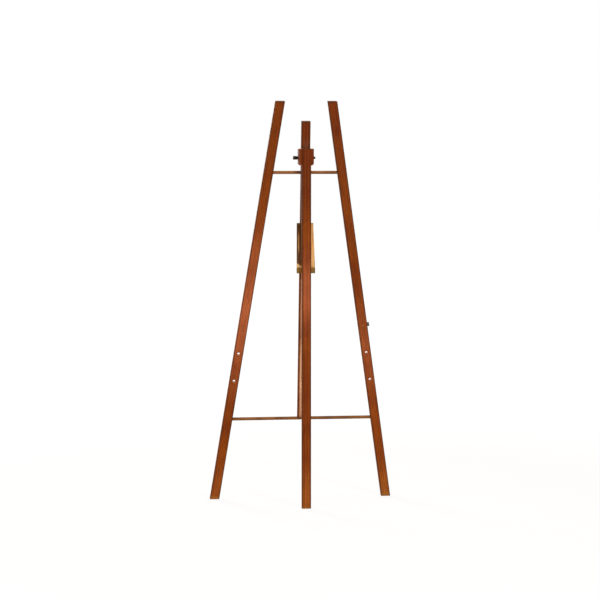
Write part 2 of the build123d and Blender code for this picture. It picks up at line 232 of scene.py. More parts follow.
def woodMaterial(name, finish, centre, axes, half, pith, paintedLightAndWearZones=()):
    material, tree = newMaterial(name)
    coords = addNode(tree, "ShaderNodeTexCoord")
    local = addNode(
        tree, "ShaderNodeMapping",
        {"vector_type": "TEXTURE", "Location": centre, "Rotation": axes.to_euler()},
        {"Vector": coords.outputs["Object"]},
    )
    parts = addNode(tree, "ShaderNodeSeparateXYZ", links={"Vector": local.outputs[0]})

    # growth rings: cylinders round a pith that lies outside the stick, so faces show long lines
    ringShift = addNode(
        tree, "ShaderNodeMapping",
        {"Location": (pith[0], pith[1], 0.0), "Scale": (1.0, 1.0, woodFigure["ringStretch"])},
        {"Vector": local.outputs[0]},
    )
    ringScale = math.pi / 10 / (finish["ringMm"] * mm)  # a wave of scale 1 repeats every pi / 10
    rings = addNode(
        tree, "ShaderNodeTexWave",
        {"wave_type": "RINGS", "rings_direction": "Z", "Scale": ringScale, "Distortion": 5.0,
         "Detail": 3.0, "Detail Scale": 0.6, "Detail Roughness": 0.6},
        {"Vector": ringShift.outputs[0]},
    )

    # pores: short dark dashes along the grain
    poreScale = 1 / (finish["poreMm"] * mm)
    poreStretch = finish["poreMm"] / finish["poreLengthMm"]
    poreCoords = addNode(
        tree, "ShaderNodeMapping",
        {"Scale": (poreScale, poreScale, poreScale * poreStretch)},
        {"Vector": local.outputs[0]},
    )
    pores = addNode(
        tree, "ShaderNodeTexNoise", {"Scale": 0.5, "Detail": 2.0, "Roughness": 0.55},
        {"Vector": poreCoords.outputs[0]},
    )
    poreLow, poreHigh = woodFigure["poreLevels"]
    poreMask = addNode(
        tree, "ShaderNodeMapRange",
        {"interpolation_type": "SMOOTHSTEP", "From Min": poreLow, "From Max": poreHigh},
        {"Value": pores.outputs["Fac"]},
    )

    # uneven take-up of the stain, in patches drawn out along the grain
    blotchScale = 1 / (finish["blotchMm"] * mm)
    blotchCoords = addNode(
        tree, "ShaderNodeMapping",
        {"Scale": (blotchScale, blotchScale, blotchScale * woodFigure["blotchStretch"])},
        {"Vector": local.outputs[0]},
    )
    blotches = addNode(
        tree, "ShaderNodeTexNoise", {"Scale": 1.0, "Detail": 4.0, "Roughness": 0.6},
        {"Vector": blotchCoords.outputs[0]},
    )

    # slow change of tone along the stick
    driftCoords = addNode(
        tree, "ShaderNodeMapping",
        {"Location": (pith[0] * 100, pith[1] * 100, 0.0),  # another stretch of the noise for each stick
         "Scale": (0.0, 0.0, 1 / (finish["driftMm"] * mm))},
        {"Vector": local.outputs[0]},
    )
    drift = addNode(
        tree, "ShaderNodeTexNoise", {"Scale": 1.0, "Detail": 1.0, "Roughness": 0.5},
        {"Vector": driftCoords.outputs[0]},
    )
    tone = addNode(
        tree, "ShaderNodeMix", {"data_type": "FLOAT", 0: finish["driftShare"]},
        {2: blotches.outputs["Fac"], 3: drift.outputs["Fac"]},
    )

    # how near a point is to the long edges and to the ends, from 0 to 1
    nearness = []
    distances = []
    for axis, output in enumerate(("X", "Y", "Z")):
        distance = addNode(tree, "ShaderNodeMath", {"operation": "ABSOLUTE"}, {0: parts.outputs[output]})
        distances.append(distance.outputs[0])
        reach = finish["edgeMm"] * mm * (1 if axis < 2 else 2)
        topOnly = axis == 2 and finish.get("bareFoot")
        near = addNode(
            tree, "ShaderNodeMapRange",
            {"interpolation_type": "SMOOTHSTEP", "From Min": half[axis] - reach,
             "From Max": half[axis] - reach * finish.get("edgeCore", 0.0), "To Min": 0.0, "To Max": 1.0},
            {"Value": parts.outputs["Z"] if topOnly else distance.outputs[0]},
        )
        nearness.append(near.outputs[0])
    # the edge colour is laid near the long edges and ends: gathered stain with painted shade on the dark woods, a
    # painted highlight on the hinge block's pale arrises
    longEdge = addNode(tree, "ShaderNodeMath", {"operation": "MULTIPLY"}, {0: nearness[0], 1: nearness[1]})
    darkened = addNode(
        tree, "ShaderNodeMath", {"operation": "MAXIMUM"}, {0: longEdge.outputs[0], 1: nearness[2]},
    )
    darkShare = addNode(
        tree, "ShaderNodeMath", {"operation": "MULTIPLY", 1: finish["edgeShare"]}, {0: darkened.outputs[0]},
    )
    blend = woodFigure["blendMm"] * mm
    if "plainHeadMm" in finish:
        headStart = half[2] - finish["plainHeadMm"] * mm
        belowHead = addNode(
            tree, "ShaderNodeMapRange",
            {"interpolation_type": "SMOOTHSTEP",
             "From Min": headStart + blend, "From Max": headStart - blend},
            {"Value": parts.outputs["Z"]},
        )
        darkShare = addNode(
            tree, "ShaderNodeMath", {"operation": "MULTIPLY"},
            {0: darkShare.outputs[0], 1: belowHead.outputs[0]},
        )

    # stain colour
    ringShare = addNode(
        tree, "ShaderNodeMapRange", {"To Min": woodFigure["ringLeast"], "To Max": woodFigure["ringMost"]},
        {"Value": rings.outputs["Fac"]},
    )
    ringColour = addNode(
        tree, "ShaderNodeMix",
        {"data_type": "RGBA", 6: linearFromHex(finish["deep"]), 7: linearFromHex(finish["mid"])},
        {0: ringShare.outputs[0]},
    )
    blotchLow, blotchHigh = woodFigure["blotchLevels"]
    blotchShare = addNode(
        tree, "ShaderNodeMapRange", {"From Min": blotchLow, "From Max": blotchHigh},
        {"Value": tone.outputs[0]},
    )
    stainColour = addNode(
        tree, "ShaderNodeMix", {"data_type": "RGBA", 7: linearFromHex(finish["light"])},
        {0: blotchShare.outputs[0], 6: ringColour.outputs[2]},
    )
    patchLow, patchHigh = woodFigure["patchLevels"]
    for zone in paintedLightAndWearZones:
        # a paler or darker colour round one height, in patches; the table lists which zones are painted sheen,
        # painted light, painted shade and rubbed wear
        zoneReach = addNode(
            tree, "ShaderNodeMath", {"operation": "SUBTRACT", 1: zone["height"]}, {0: parts.outputs["Z"]},
        )
        zoneDistance = addNode(tree, "ShaderNodeMath", {"operation": "ABSOLUTE"}, {0: zoneReach.outputs[0]})
        zoneFade = addNode(
            tree, "ShaderNodeMapRange",
            {"interpolation_type": "SMOOTHSTEP", "From Min": zone["reach"], "From Max": zone.get("core", 0.0),
             "To Min": 0.0, "To Max": zone["share"]},
            {"Value": zoneDistance.outputs[0]},
        )
        zonePatches = addNode(
            tree, "ShaderNodeMapRange",
            {"From Min": patchLow, "From Max": patchHigh, "To Min": woodFigure["patchLeast"], "To Max": 1.0},
            {"Value": tone.outputs[0]},
        )
        zoneHere = addNode(
            tree, "ShaderNodeMath", {"operation": "MULTIPLY"},
            {0: zoneFade.outputs[0], 1: zonePatches.outputs[0]},
        )
        if "stripe" in zone:
            # only a stripe down the middle of the back face, the mast's painted highlight
            zoneFace = addNode(
                tree, "ShaderNodeMapRange", {"From Min": mm - half[1], "From Max": -half[1]},
                {"Value": parts.outputs["Y"]},
            )
            zoneStripe = addNode(
                tree, "ShaderNodeMapRange",
                {"interpolation_type": "SMOOTHSTEP", "From Min": zone["stripe"],
                 "From Max": woodFigure["stripeCore"] * zone["stripe"]},
                {"Value": distances[0]},
            )
            for mask in (zoneFace, zoneStripe):
                zoneHere = addNode(
                    tree, "ShaderNodeMath", {"operation": "MULTIPLY"},
                    {0: zoneHere.outputs[0], 1: mask.outputs[0]},
                )
        stainColour = addNode(
            tree, "ShaderNodeMix", {"data_type": "RGBA", 7: linearFromHex(zone["colour"])},
            {0: zoneHere.outputs[0], 6: stainColour.outputs[2]},
        )
    if finish.get("paintedShadow"):
        # painted shadow down one edge, where the rear leg's shadow falls, with a painted lit streak in it; the
        # lower end carries a painted patch of light where that shadow ends
        paintedShadowStart = finish["paintedShadowStartMm"] * mm
        paintedShadowFade = addNode(
            tree, "ShaderNodeMapRange",
            {"interpolation_type": "SMOOTHSTEP", "From Min": paintedShadowStart,
             "From Max": paintedShadowStart + finish["paintedShadowBlendMm"] * mm, "To Max": woodFigure["paintedShadowShare"]},
            {"Value": parts.outputs["X"]},
        )
        litStreakReach = addNode(
            tree, "ShaderNodeMath", {"operation": "SUBTRACT", 1: finish["litStreakMm"] * mm},
            {0: parts.outputs["X"]},
        )
        litStreakDistance = addNode(tree, "ShaderNodeMath", {"operation": "ABSOLUTE"}, {0: litStreakReach.outputs[0]})
        litStreakFade = addNode(
            tree, "ShaderNodeMapRange",
            {"interpolation_type": "SMOOTHSTEP", "From Min": finish["litStreakWidthMm"] * mm, "From Max": 0.0,
             "To Min": 0.0, "To Max": finish["litStreakShare"]},
            {"Value": litStreakDistance.outputs[0]},
        )
        litStreakOffset = addNode(
            tree, "ShaderNodeMath", {"operation": "SUBTRACT", 1: finish["litStreakMiddleMm"] * mm},
            {0: parts.outputs["Z"]},
        )
        litStreakAlong = addNode(tree, "ShaderNodeMath", {"operation": "ABSOLUTE"}, {0: litStreakOffset.outputs[0]})
        litStreakClosing = addNode(  # 1 past the ends of the streak, which it draws to points
            tree, "ShaderNodeMapRange",
            {"interpolation_type": "SMOOTHSTEP", "From Min": finish["litStreakLengthMm"] / 2 * mm,
             "From Max": finish["litStreakLengthMm"] / 8 * mm, "To Min": 1.0, "To Max": 0.0},
            {"Value": litStreakAlong.outputs[0]},
        )
        litStreakLeft = addNode(
            tree, "ShaderNodeMath", {"operation": "SUBTRACT", "use_clamp": True},
            {0: litStreakFade.outputs[0], 1: litStreakClosing.outputs[0]},
        )
        paintedShadowLeft = addNode(
            tree, "ShaderNodeMath", {"operation": "SUBTRACT", 0: 1.0}, {1: litStreakLeft.outputs[0]},
        )
        paintedShadowShare = addNode(
            tree, "ShaderNodeMath", {"operation": "MULTIPLY"},
            {0: paintedShadowFade.outputs[0], 1: paintedShadowLeft.outputs[0]},
        )
        paintedShadowColour = addNode(
            tree, "ShaderNodeMix", {"data_type": "RGBA", 7: linearFromHex(finish["paintedShadow"])},
            {0: paintedShadowShare.outputs[0], 6: stainColour.outputs[2]},
        )
        paintedLightReach = addNode(
            tree, "ShaderNodeMath", {"operation": "MULTIPLY_ADD", 1: finish["paintedLightSkew"]},
            {0: parts.outputs["X"], 2: parts.outputs["Z"]},
        )
        paintedLightStart = half[2] + finish["paintedLightSkew"] * half[0] - finish["paintedLightEndMm"] * mm
        paintedLightFade = addNode(
            tree, "ShaderNodeMapRange",
            {"interpolation_type": "SMOOTHSTEP", "From Min": paintedLightStart, "From Max": paintedLightStart + blend},
            {"Value": paintedLightReach.outputs[0]},
        )
        stainColour = addNode(
            tree, "ShaderNodeMix", {"data_type": "RGBA", 7: linearFromHex(finish["paintedLightEnd"])},
            {0: paintedLightFade.outputs[0], 6: paintedShadowColour.outputs[2]},
        )

    # fine streaks along the grain and the ring lines show over the stain, the rubbed wear and the painted light
    # and shade alike
    streakScale = 1 / (finish["streakMm"] * mm)
    streakCoords = addNode(
        tree, "ShaderNodeMapping",
        {"Scale": (streakScale, streakScale, 1 / (finish["streakLengthMm"] * mm))},
        {"Vector": local.outputs[0]},
    )
    streaks = addNode(
        tree, "ShaderNodeTexNoise", {"Scale": 1.0, "Detail": 3.0, "Roughness": 0.6, "Distortion": 0.7},
        {"Vector": streakCoords.outputs[0]},
    )
    streakLow, streakHigh = woodFigure["streakLevels"]
    streakShade = addNode(
        tree, "ShaderNodeMapRange",
        {"From Min": streakLow, "From Max": streakHigh,
         "To Min": 1 - finish["streakDepth"], "To Max": 1 + finish["streakDepth"]},
        {"Value": streaks.outputs["Fac"]},
    )
    ringShade = addNode(
        tree, "ShaderNodeMapRange", {"To Min": 1 - finish["ringDepth"], "To Max": 1 + finish["ringDepth"]},
        {"Value": rings.outputs["Fac"]},
    )
    figure = addNode(
        tree, "ShaderNodeMath", {"operation": "MULTIPLY"},
        {0: streakShade.outputs[0], 1: ringShade.outputs[0]},
    )
    stainColour = addNode(
        tree, "ShaderNodeMix", {"data_type": "RGBA", "blend_type": "MULTIPLY", 0: 1.0},
        {6: stainColour.outputs[2], 7: figure.outputs[0]},
    )
    poreShare = addNode(
        tree, "ShaderNodeMath", {"operation": "MULTIPLY", 1: woodFigure["poreShare"]},
        {0: poreMask.outputs[0]},
    )
    poreColour = addNode(
        tree, "ShaderNodeMix", {"data_type": "RGBA", 7: linearFromHex(finish["pore"])},
        {0: poreShare.outputs[0], 6: stainColour.outputs[2]},
    )
    finalColour = addNode(
        tree, "ShaderNodeMix", {"data_type": "RGBA", 7: linearFromHex(finish["edge"])},
        {0: darkShare.outputs[0], 6: poreColour.outputs[2]},
    )

    if "bore" in finish:
        # raw walls of the holes: near the middle line, below both faces and clear of the ends
        boreSkin = finish["boreSkinMm"] * mm
        boreEnd = finish["boreEndMm"] * mm
        limits = (finish["boreMm"] * mm, half[1] - boreSkin, half[2] - boreEnd)
        inside = [
            addNode(tree, "ShaderNodeMath", {"operation": "LESS_THAN", 1: limit}, {0: distance}).outputs[0]
            for distance, limit in zip(distances, limits)
        ]
        belowFaces = addNode(tree, "ShaderNodeMath", {"operation": "MULTIPLY"}, {0: inside[0], 1: inside[1]})
        rawShare = addNode(
            tree, "ShaderNodeMath", {"operation": "MULTIPLY"}, {0: belowFaces.outputs[0], 1: inside[2]},
        )
        finalColour = addNode(
            tree, "ShaderNodeMix", {"data_type": "RGBA", 7: linearFromHex(finish["bore"])},
            {0: rawShare.outputs[0], 6: finalColour.outputs[2]},
        )

    # varnish: rougher over the pores and where the stain is thin
    roughBase = addNode(
        tree, "ShaderNodeMapRange",
        {"To Min": finish["roughness"] - woodFigure["glossier"],
         "To Max": finish["roughness"] + woodFigure["duller"]},
        {"Value": blotches.outputs["Fac"]},
    )
    roughness = addNode(
        tree, "ShaderNodeMath", {"operation": "MULTIPLY_ADD", 1: woodFigure["poreRoughness"]},
        {0: poreMask.outputs[0], 2: roughBase.outputs[0]},
    )
    bump = addNode(
        tree, "ShaderNodeBump",
        {"invert": True, "Strength": woodFigure["poreBump"], "Distance": woodFigure["poreDepthMm"] * mm},
        {"Height": poreMask.outputs[0]},
    )
    shader = addNode(
        tree, "ShaderNodeBsdfPrincipled",
        {"IOR": 1.5, "Specular IOR Level": finish["specular"]},
        {"Base Color": finalColour.outputs[2], "Roughness": roughness.outputs[0], "Normal": bump.outputs[0]},
    )
    addNode(tree, "ShaderNodeOutputMaterial", links={"Surface": shader.outputs[0]})
    return material


# blackened steel: oil-blacked, a little brown shows through where it rubs
blackSteel = {"dark": "#17120f", "bright": "#3a2a20", "grainMm": 3.0, "roughness": 0.42, "metallic": 1.0}

# weathered zinc-plated steel: dull dark grey, cloudy
greySteel = {"dark": "#403c3b", "bright": "#6c6663", "grainMm": 2.5, "roughness": 0.42, "metallic": 1.0}

# aged brass: warm yellow with brown tarnish
agedBrass = {"dark": "#6e4d1c", "bright": "#b58a45", "grainMm": 5.0, "roughness": 0.36, "metallic": 1.0}

# what the metals share
metalFigure = {"cloudLevels": (0.35, 0.7), "glossier": 0.1, "duller": 0.12, "bump": 0.2, "depthMm": 0.05}


def metalMaterial(name, finish):
    material, tree = newMaterial(name)
    coords = addNode(tree, "ShaderNodeTexCoord")
    clouds = addNode(
        tree, "ShaderNodeTexNoise", {"Scale": 1 / (finish["grainMm"] * mm), "Detail": 5.0, "Roughness": 0.62},
        {"Vector": coords.outputs["Object"]},
    )
    cloudLow, cloudHigh = metalFigure["cloudLevels"]
    share = addNode(
        tree, "ShaderNodeMapRange", {"From Min": cloudLow, "From Max": cloudHigh},
        {"Value": clouds.outputs["Fac"]},
    )
    colour = addNode(
        tree, "ShaderNodeMix",
        {"data_type": "RGBA", 6: linearFromHex(finish["dark"]), 7: linearFromHex(finish["bright"])},
        {0: share.outputs[0]},
    )
    roughness = addNode(
        tree, "ShaderNodeMapRange",
        {"To Min": finish["roughness"] - metalFigure["glossier"],
         "To Max": finish["roughness"] + metalFigure["duller"]},
        {"Value": clouds.outputs["Fac"]},
    )
    bump = addNode(
        tree, "ShaderNodeBump",
        {"Strength": metalFigure["bump"], "Distance": metalFigure["depthMm"] * mm},
        {"Height": clouds.outputs["Fac"]},
    )
    shader = addNode(
        tree, "ShaderNodeBsdfPrincipled", {"Metallic": finish["metallic"]},
        {"Base Color": colour.outputs[2], "Roughness": roughness.outputs[0], "Normal": bump.outputs[0]},
    )
    addNode(tree, "ShaderNodeOutputMaterial", links={"Surface": shader.outputs[0]})
    return material


def dress(obj, material):
    obj.data.materials.clear()
    obj.data.materials.append(material)


# each stick: its finish, the way its grain runs, the face that looks out and where its pith lay
boardFronts = [face for face in nodes["brace_board"].data.polygons if face.normal.y > 0]
boardFace = max(boardFronts, key=lambda face: face.area).normal.copy()
boardDown = boardFace.cross(acrossX)
leftLegUp = Vector(mounts["left_middle_peg_hole"]["pos_m"]) - Vector(mounts["left_low_peg_hole"]["pos_m"])
rightLegUp = Vector(mounts["right_middle_peg_hole"]["pos_m"]) - Vector(mounts["right_low_peg_hole"]["pos_m"])
sticks = {
    "left_leg": (legStain, leftLegUp, frontOfFrame, (0.031, 0.022)),
    "right_leg": (legStain, rightLegUp, frontOfFrame, (-0.027, 0.026)),
    "mast": (mastStain, upFrame, frontOfFrame, (0.02, 0.034)),
    "rear_leg": (barStain, upZ, backY, (-0.024, 0.03)),
    "left_cheek": (paleArrisHighlightStain, upZ, acrossX, (0.04, 0.012)),
    "right_cheek": (paleArrisHighlightStain, upZ, acrossX, (-0.03, 0.02)),
    "upper_rung": (goldenDowel, acrossX, backY, (0.012, 0.016)),
    "lower_rung": (goldenDowel, acrossX, backY, (0.015, 0.01)),
    "brace_board": (honeyBoard, boardDown, boardFace, (0.03, 0.05)),
    "brace_batten": (oliveBatten, acrossX, boardFace, (0.02, 0.02)),
}
# paler and darker zones along the grain: the dark zones near the tops are painted shade, the pale zones round
# mid-height are painted sheen, the pale zones near the feet are painted light with rubbed raw wood at the very
# tips, the rear leg is darker below its middle, the mast has a painted highlight stripe down its back face, and
# the board is darker near its upper end and paler below its middle; metres along the grain from the middle of the
# stick
paintedLightAndWear = {
    "left_leg": [{"height": 0.62, "reach": 0.35, "share": 0.3, "colour": "#4a1a06"},
                 {"height": -0.02, "reach": 0.43, "share": 0.85, "colour": "#a65e3e"},
                 {"height": -0.76, "reach": 0.16, "share": 0.5, "colour": "#a05c2a"},
                 {"height": -0.775, "reach": 0.03, "core": 0.012, "share": 0.75, "colour": "#a87838"}],
    "right_leg": [{"height": 0.6, "reach": 0.25, "share": 0.2, "colour": "#4a1a06"},
                  {"height": -0.19, "reach": 0.3, "share": 0.5, "colour": "#a65e3e"},
                  {"height": -0.5, "reach": 0.25, "share": 0.4, "colour": "#a0521c"},
                  {"height": -0.76, "reach": 0.2, "share": 0.7, "colour": "#a2602a"},
                  {"height": -0.775, "reach": 0.045, "core": 0.012, "share": 0.6, "colour": "#a87838"}],
    "rear_leg": [{"height": 0.64, "reach": 0.32, "core": 0.06, "share": 0.55, "colour": "#4a1806"},
                 {"height": 0.14, "reach": 0.22, "share": 0.8, "colour": "#a65e3e"},
                 {"height": -0.27, "reach": 0.3, "share": 0.4, "colour": "#561a04"},
                 {"height": -0.67, "reach": 0.2, "share": 0.7, "colour": "#a2602a"},
                 {"height": -0.675, "reach": 0.025, "core": 0.01, "share": 0.7, "colour": "#a87838"}],
    "mast": [{"height": 0.56, "reach": 0.3, "core": 0.12, "share": 0.6, "colour": "#4a1a06"},
             {"height": -0.1, "reach": 0.62, "core": 0.4, "share": 0.9, "colour": "#d3a88a",
              "stripe": 0.0128}],
    "brace_board": [{"height": -0.084, "reach": 0.1, "share": 0.6, "colour": "#a98a58"},
                    {"height": 0.05, "reach": 0.07, "share": 0.55, "colour": "#fbd9a4"}],
}
# moves the cheeks' pattern inwards, which keeps the painted highlight to their outer arrises
outerShift = {"left_cheek": acrossX * 4 * mm, "right_cheek": acrossX * -4 * mm}
for node, (finish, along, front, pith) in sticks.items():
    axes = axesFor(along, front)
    centre, half = turnedBox(node, axes)
    shift = outerShift.get(node, Vector())
    half.y += shift.length
    wood = woodMaterial(node + "Wood", finish, centre + shift, axes, half, pith, paintedLightAndWear.get(node, ()))
    dress(nodes[node], wood)
print("wood dressed:", len(sticks), "sticks")

slotMetals = {
    "black_steel": metalMaterial("blackenedSteel", blackSteel),
    "grey_steel": metalMaterial("dullZincSteel", greySteel),
    "brass": metalMaterial("agedBrass", agedBrass),
}
for node, obj in nodes.items():
    if slotOf[node] in slotMetals:
        dress(obj, slotMetals[slotOf[node]])
print("metal dressed")


# points nearer than mergeMm become one, and edges sharper than sharpDegrees stay crisp
meshing = {"mergeMm": 0.002, "sharpDegrees": 38}


def finishMesh(bm, name, place, material, replaced):
    bmesh.ops.remove_doubles(bm, verts=bm.verts, dist=meshing["mergeMm"] * mm)
    bmesh.ops.recalc_face_normals(bm, faces=bm.faces)
    bmesh.ops.transform(bm, matrix=place, verts=bm.verts)
    mesh = bpy.data.meshes.new(name)
    bm.to_mesh(mesh)
    bm.free()
    for face in mesh.polygons:
        face.use_smooth = True
    mesh.set_sharp_from_angle(angle=math.radians(meshing["sharpDegrees"]))
    obj = bpy.data.objects.new(name, mesh)
    bpy.context.scene.collection.objects.link(obj)
    dress(obj, material)
    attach(obj, bodyOf[replaced])
    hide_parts(replaced)


def spinProfile(bm, profile, steps):
    # profile points are (radius, height) in millimetres, from the bottom of the axis to its top
    verts = [bm.verts.new((radius * mm, 0, height * mm)) for radius, height in profile]
    edges = [bm.edges.new(pair) for pair in zip(verts, verts[1:])]
    bmesh.ops.spin(
        bm, geom=verts + edges, cent=(0, 0, 0), axis=(0, 0, 1), angle=math.tau, steps=steps,
        use_merge=True,
    )
    bmesh.ops.remove_doubles(bm, verts=bm.verts, dist=meshing["mergeMm"] * mm)


def roundCorner(radius, height, size, startTurn, steps=4):
    # quarter round of a profile: centre at (radius, height), starting at the given turn in degrees
    turns = [math.radians(startTurn + 90 * step / steps) for step in range(steps + 1)]
    return [(radius + size * math.cos(turn), height + size * math.sin(turn)) for turn in turns]


def placeAlong(origin, direction):
    return Matrix.Translation(origin) @ direction.to_track_quat("Z", "Y").to_matrix().to_4x4()


def turnedSpans(node, origin, direction):
    # (height, radius) of a turned node's points about its axis, in mm from the origin
    offsets = [vertex.co - origin for vertex in nodes[node].data.vertices]
    return [(offset.dot(direction) / mm, offset.cross(direction).length / mm) for offset in offsets]


def stretchOf(spans, high=math.inf, wider=0.0):
    # start, end and radius of the stretch up to a height that is wider than a radius
    kept = [span for span in spans if span[0] <= high and span[1] > wider]
    heights = [height for height, radius in kept]
    return min(heights), max(heights), max(radius for height, radius in kept)


def knurl(bm, radius, low, high, count, depth, room=0.05):
    # straight knurling: pushes the barrel's columns in by a wave, sizes in millimetres
    for vertex in bm.verts:
        spread = math.hypot(vertex.co.x, vertex.co.y)
        if spread > (radius - room) * mm and low * mm < vertex.co.z < high * mm:
            wave = (1 - math.cos(count * math.atan2(vertex.co.y, vertex.co.x))) / 2
            push = 1 - depth * mm * wave / spread
            vertex.co.x *= push
            vertex.co.y *= push


# clamp knob: straight-knurled barrel with a dished end, on a plain neck
clampKnob = {"knurls": 22, "stepsPerKnurl": 4, "knurlDepth": 0.4, "edge": 1.1, "neck": 1.4, "neckInset": 1.6,
             "dishRadius": 3.0, "dishDepth": 0.7, "dishSlope": 0.5, "knurlStart": 0.9, "knurlEnd": 1.9}


def makeClampKnob():
    axis = Vector(joints["clamp_knob_turn"]["axis"])
    start, end, radius = stretchOf(turnedSpans("clamp_knob", hingePoint, axis))
    edge = clampKnob["edge"]
    barrel = start + clampKnob["neck"]
    neckRadius = radius - clampKnob["neckInset"]
    profile = [(0, start), (neckRadius, start), (neckRadius, barrel)]
    profile += roundCorner(radius - edge, barrel + edge, edge, -90)
    profile += roundCorner(radius - 2 * edge, end - 2 * edge, 2 * edge, 0)
    dishRadius = clampKnob["dishRadius"]
    dishFloor = end - clampKnob["dishDepth"]
    profile += [(dishRadius, end), (dishRadius - clampKnob["dishSlope"], dishFloor), (0, dishFloor)]
    bm = bmesh.new()
    spinProfile(bm, profile, clampKnob["knurls"] * clampKnob["stepsPerKnurl"])
    low = barrel + clampKnob["knurlStart"] * edge
    high = end - clampKnob["knurlEnd"] * edge
    knurl(bm, radius, low, high, clampKnob["knurls"], clampKnob["knurlDepth"])
    finishMesh(bm, "clampKnob", placeAlong(hingePoint, axis), slotMetals["black_steel"], "clamp_knob")


# hinge bolt: plain shank with a domed cap nut on its right end
hingeBolt = {"flatsShare": 0.87, "hexHeight": 4.4, "domeInset": 0.7, "edge": 0.35, "headWider": 1.2,
             "endBevel": 0.6, "domeSunk": 0.3, "domeSteps": 8, "steps": 48}


def makeHingeBolt():
    axis = acrossX
    spans = turnedSpans("hinge_bolt", hingePoint, axis)
    shankRadius = stretchOf(spans, high=0.0)[2]
    start, end = stretchOf(spans)[:2]
    headStart, _, headRadius = stretchOf(spans, wider=hingeBolt["headWider"] * shankRadius)
    bm = bmesh.new()
    hexTop = headStart + hingeBolt["hexHeight"]
    nut = bmesh.ops.create_cone(
        bm, cap_ends=True, segments=6, radius1=headRadius * mm, radius2=headRadius * mm,
        depth=hingeBolt["hexHeight"] * mm,
    )
    bmesh.ops.translate(bm, vec=(0, 0, (headStart + hexTop) / 2 * mm), verts=nut["verts"])
    bmesh.ops.bevel(
        bm, geom=list(bm.edges), offset=hingeBolt["edge"] * mm, affect="EDGES", segments=2, profile=0.5,
        material=-1,
    )
    dome = headRadius * hingeBolt["flatsShare"] - hingeBolt["domeInset"]
    profile = [(0, start), (shankRadius, start + hingeBolt["endBevel"]), (shankRadius, headStart)]
    profile += [(dome, hexTop - hingeBolt["domeSunk"])]
    profile += roundCorner(0, end - dome, dome, 0, hingeBolt["domeSteps"])
    spinProfile(bm, profile, hingeBolt["steps"])
    finishMesh(bm, "hingeBolt", placeAlong(hingePoint, axis), slotMetals["black_steel"], "hinge_bolt")


makeClampKnob()
makeHingeBolt()
print("clamp knob and hinge bolt made")

# thumb screw that locks the right peg: knurled head with a domed end
lockScrew = {"knurls": 26, "stepsPerKnurl": 4, "knurlDepth": 0.45, "knurlStart": 0.9, "edge": 0.9,
             "collar": 1.2, "collarInset": 2.2, "headWider": 0.6, "crown": 0.8, "crownShoulder": 0.6,
             "crownTop": 0.3, "shoulderDrop": 0.3, "tip": 0.7}


def makeLockScrew():
    joint = joints["peg_lock_turn"]
    origin = Vector(joint["pos_m"])
    axis = Vector(joint["axis"]).normalized()
    spans = turnedSpans("peg_lock_screw", origin, axis)
    start, end, radius = stretchOf(spans)
    headStart = stretchOf(spans, wider=lockScrew["headWider"] * radius)[0]
    shankRadius = stretchOf(spans, high=headStart - lockScrew["collar"])[2]
    edge = lockScrew["edge"]
    barrel = headStart + lockScrew["collar"]
    collarRadius = radius - lockScrew["collarInset"]
    crownStart = end - lockScrew["crown"]
    profile = [(0, start), (shankRadius - lockScrew["tip"], start), (shankRadius, start + lockScrew["tip"])]
    profile += [(shankRadius, headStart), (collarRadius, headStart), (collarRadius, barrel)]
    profile += roundCorner(radius - edge, barrel + edge, edge, -90)
    profile += roundCorner(radius - edge, crownStart - edge, edge, 0)
    profile += [(lockScrew["crownShoulder"] * radius, end - lockScrew["shoulderDrop"] * lockScrew["crown"])]
    profile += [(lockScrew["crownTop"] * radius, end), (0, end)]
    bm = bmesh.new()
    spinProfile(bm, profile, lockScrew["knurls"] * lockScrew["stepsPerKnurl"])
    inset = lockScrew["knurlStart"] * edge
    knurl(bm, radius, barrel + inset, crownStart - inset, lockScrew["knurls"], lockScrew["knurlDepth"])
    finishMesh(bm, "pegLockScrew", placeAlong(origin, axis), slotMetals["grey_steel"], "peg_lock_screw")


# canvas pegs: turned pin with a bead-edged collar, a shallow neck and a rounded tip
canvasPeg = {"tipRound": 3.6, "endBevel": 0.9, "collarRound": 1.6, "collarBack": 0.6, "neckDepth": 0.5,
             "neckLength": 4.0, "neckSlope": 1.4, "holeRoom": 0.08, "collarWider": 1.2, "tipSteps": 6,
             "steps": 40, "pith": (0.01, 0.012)}


def makePeg(side):
    node = side + "_peg"
    seat = Vector(mounts[side + "_peg_seat"]["pos_m"])
    radius = mounts[side + "_low_peg_hole"]["dims"]["r_mm"] - canvasPeg["holeRoom"]
    origin = seat - upFrame * radius * mm
    spans = turnedSpans(node, origin, frontOfFrame)
    start, end = stretchOf(spans)[:2]
    collarStart, collarEnd, collarRadius = stretchOf(spans, wider=canvasPeg["collarWider"] * radius)
    bevel = canvasPeg["endBevel"]
    bead = canvasPeg["collarRound"]
    tip = canvasPeg["tipRound"]
    back = canvasPeg["collarBack"]
    neck = radius - canvasPeg["neckDepth"]
    neckStart = collarEnd + canvasPeg["neckSlope"]
    neckEnd = neckStart + canvasPeg["neckLength"]
    profile = [(0, start), (radius - bevel, start), (radius, start + bevel), (radius, collarStart)]
    profile += roundCorner(collarRadius - back, collarStart + back, back, -90)
    profile += roundCorner(collarRadius - bead, collarEnd - bead, bead, 0)
    profile += [(radius, collarEnd), (neck, neckStart), (neck, neckEnd)]
    profile += [(radius, neckEnd + canvasPeg["neckSlope"])]
    profile += roundCorner(radius - tip, end - tip, tip, 0, canvasPeg["tipSteps"])
    profile += [(0, end)]
    bm = bmesh.new()
    spinProfile(bm, profile, canvasPeg["steps"])
    middle = origin + frontOfFrame * (start + end) / 2 * mm
    half = Vector((2 * radius * mm, 2 * radius * mm, (end - start) / 2 * mm))
    axes = axesFor(frontOfFrame, acrossX)
    wood = woodMaterial(side + "PegWood", turnedPeg, middle, axes, half, canvasPeg["pith"])
    finishMesh(bm, side + "Peg", placeAlong(origin, frontOfFrame), wood, node)


